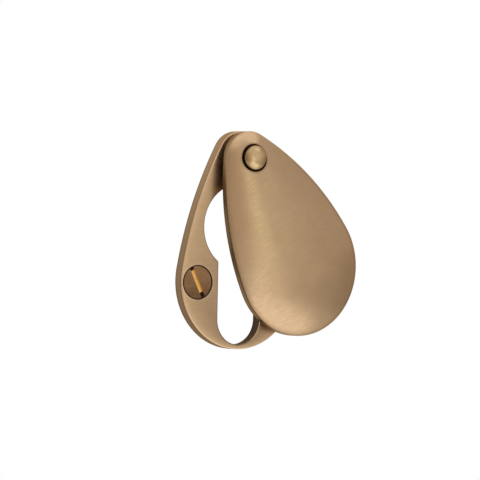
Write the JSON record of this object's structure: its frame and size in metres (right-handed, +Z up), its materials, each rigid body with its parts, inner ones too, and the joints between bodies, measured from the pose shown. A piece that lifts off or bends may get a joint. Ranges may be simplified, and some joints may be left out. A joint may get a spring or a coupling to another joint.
{
  "type": "covered keyhole escutcheon",
  "caption": "Teardrop escutcheon plate with a Euro profile keyhole, closed by a domed drop cover that swings on a rivet, with countersunk slotted fixing screws.",
  "frame": {"origin": "centre of the keyhole's round, on the flat back of the plate", "axes": "+Z up the door, -Y off the door towards the viewer, +X to the viewer's right"},
  "size_m": [0.0414, 0.0263, 0.0452],
  "materials": {
    "antique_brass": "satin, fine brushed, antiqued brown",
    "rivet_brass": "satin, slightly brighter than the cover",
    "screw_brass": "dull antiqued face, raw brass in the slot"
  },
  "bodies": {
    "plate": {"back_plate": "antique_brass", "pivot_rivet": "rivet_brass", "fixing_screws": "screw_brass"},
    "cover": {"swing_cover": "antique_brass"}
  },
  "joints": [
    {"name": "cover_swing", "type": "hinge", "parent": "plate", "child": "cover", "pos_m": [0, -0.005, 0.0143], "axis": [0, -1, 0], "continuous": true}
  ]
}
